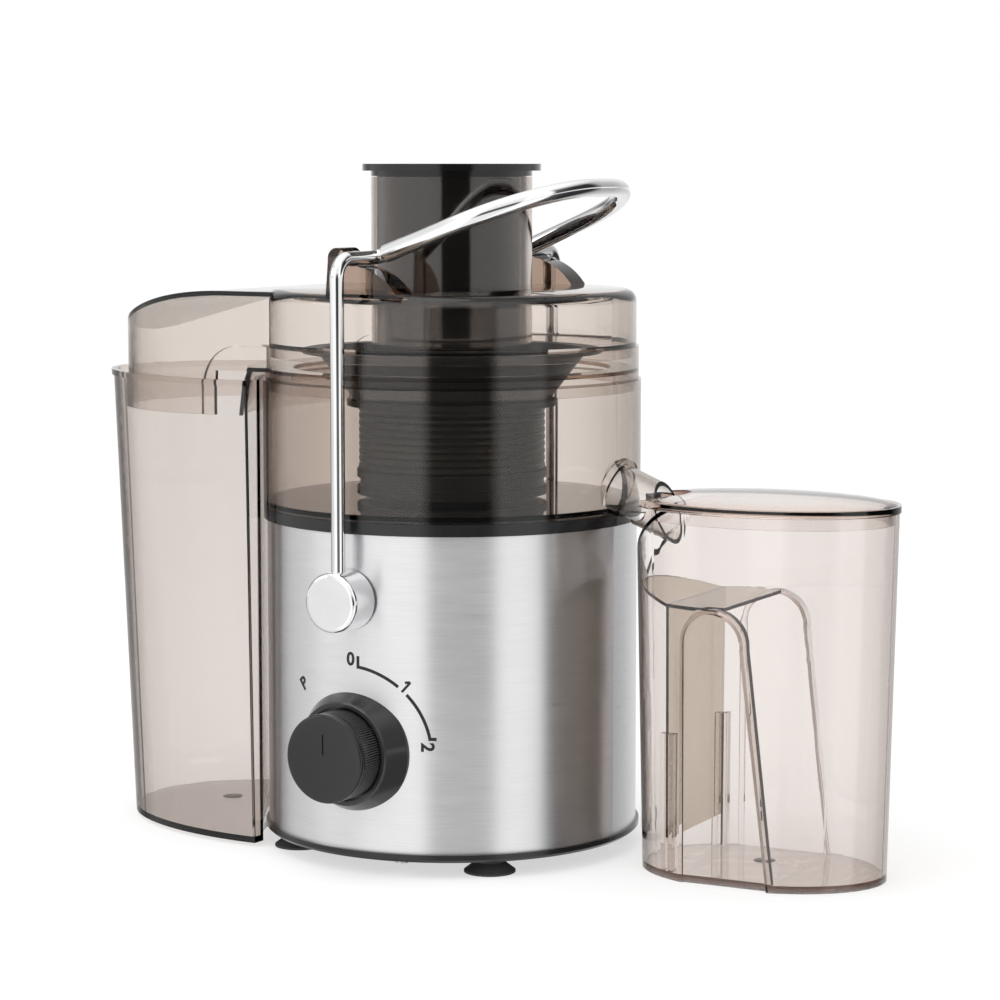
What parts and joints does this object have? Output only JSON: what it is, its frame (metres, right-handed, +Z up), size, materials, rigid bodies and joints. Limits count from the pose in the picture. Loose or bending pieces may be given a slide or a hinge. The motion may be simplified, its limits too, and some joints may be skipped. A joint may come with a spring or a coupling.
{
  "type": "centrifugal juicer",
  "caption": "Upright centrifugal juicer: steel motor body, smoky bowl, lid with round feed chute and pusher, swing-over locking arm, pulp bin and a lidded oval juice jug.",
  "frame": {"origin": "on the motor axis, at the surface that the feet stand on", "axes": "+Z up along the motor axis, +X towards the juice spout and jug, -Y towards the control knob"},
  "size_m": [0.4509, 0.2347, 0.3522],
  "materials": {
    "steel": "brushed round the body",
    "smoke": "glossy, see-through smoke grey",
    "black": "glossy black",
    "satin_black": "satin black",
    "housing": "matte dark grey",
    "rubber": "matte black",
    "chrome": "polished",
    "sheet_steel": "satin",
    "iron": "bare laminations",
    "copper": "enamelled copper",
    "carbon": "matte carbon",
    "white_plastic": "matte off-white"
  },
  "bodies": {
    "base": {"suction_feet": "rubber", "bottom_cover": "black", "cover_screws": "sheet_steel", "steel_sleeve": "steel", "inner_housing": "housing", "motor_deck": "black", "shaft_seal": "rubber", "upper_bracket": "iron", "lower_bracket": "iron", "upper_bearing": "sheet_steel", "lower_bearing": "sheet_steel", "stator_core": "iron", "field_coils": "copper", "motor_mounts": "rubber", "mount_screws": "sheet_steel", "stator_bolts": "sheet_steel", "brush_holders": "white_plastic", "carbon_brushes": "carbon", "knob_bezel": "satin_black", "rotary_switch": "housing", "cord_gland": "rubber", "interlock_switch": "housing", "pivot_studs": "sheet_steel", "juice_bowl": "smoke", "filter_surround": "smoke", "lid": "smoke"},
    "rotor": {"motor_shaft": "sheet_steel", "armature_core": "iron", "armature_windings": "copper", "commutator": "copper", "cooling_fan": "white_plastic", "drive_coupling": "satin_black", "basket_base": "satin_black", "grater_disc": "sheet_steel", "sieve": "sheet_steel", "basket_rim": "satin_black"},
    "knob": {"control_knob": "satin_black", "switch_shaft": "white_plastic"},
    "locking_arm": {"pivot_hubs": "chrome", "arm_rod_front": "chrome", "arm_rod_rear": "chrome", "arm_loop": "chrome"},
    "food_pusher": {"pusher": "black"},
    "pulp_bin": {"pulp_container": "smoke"},
    "jug": {"juice_jug": "smoke", "froth_separator": "smoke"},
    "jug_cover": {"jug_lid": "smoke"}
  },
  "joints": [
    {"name": "rotor_spin", "type": "hinge", "parent": "base", "child": "rotor", "pos_m": [0, 0, 0.19], "axis": [0, 0, 1], "continuous": true},
    {"name": "knob_turn", "type": "hinge", "parent": "base", "child": "knob", "pos_m": [0, -0.1, 0.0615], "axis": [0, 1, 0], "range_deg": [-45, 90]},
    {"name": "arm_swing", "type": "hinge", "parent": "base", "child": "locking_arm", "pos_m": [0, 0, 0.138], "axis": [0, 1, 0], "range_deg": [0, 40]},
    {"name": "pusher_lift", "type": "slide", "parent": "base", "child": "food_pusher", "axis": [0, 0, 1], "range_m": [0, 0.142]},
    {"name": "pulp_container_tilt", "type": "hinge", "parent": "base", "child": "pulp_bin", "pos_m": [-0.0975, 0, 0.241], "axis": [0, 1, 0], "range_deg": [0, 15]},
    {"name": "jug_slide", "type": "slide", "parent": "base", "child": "jug", "axis": [0.9976, 0.0698, 0], "range_m": [0, 0.15]},
    {"name": "jug_lid_lift", "type": "slide", "parent": "jug", "child": "jug_cover", "axis": [0, 0, 1], "range_m": [0, 0.1]}
  ]
}
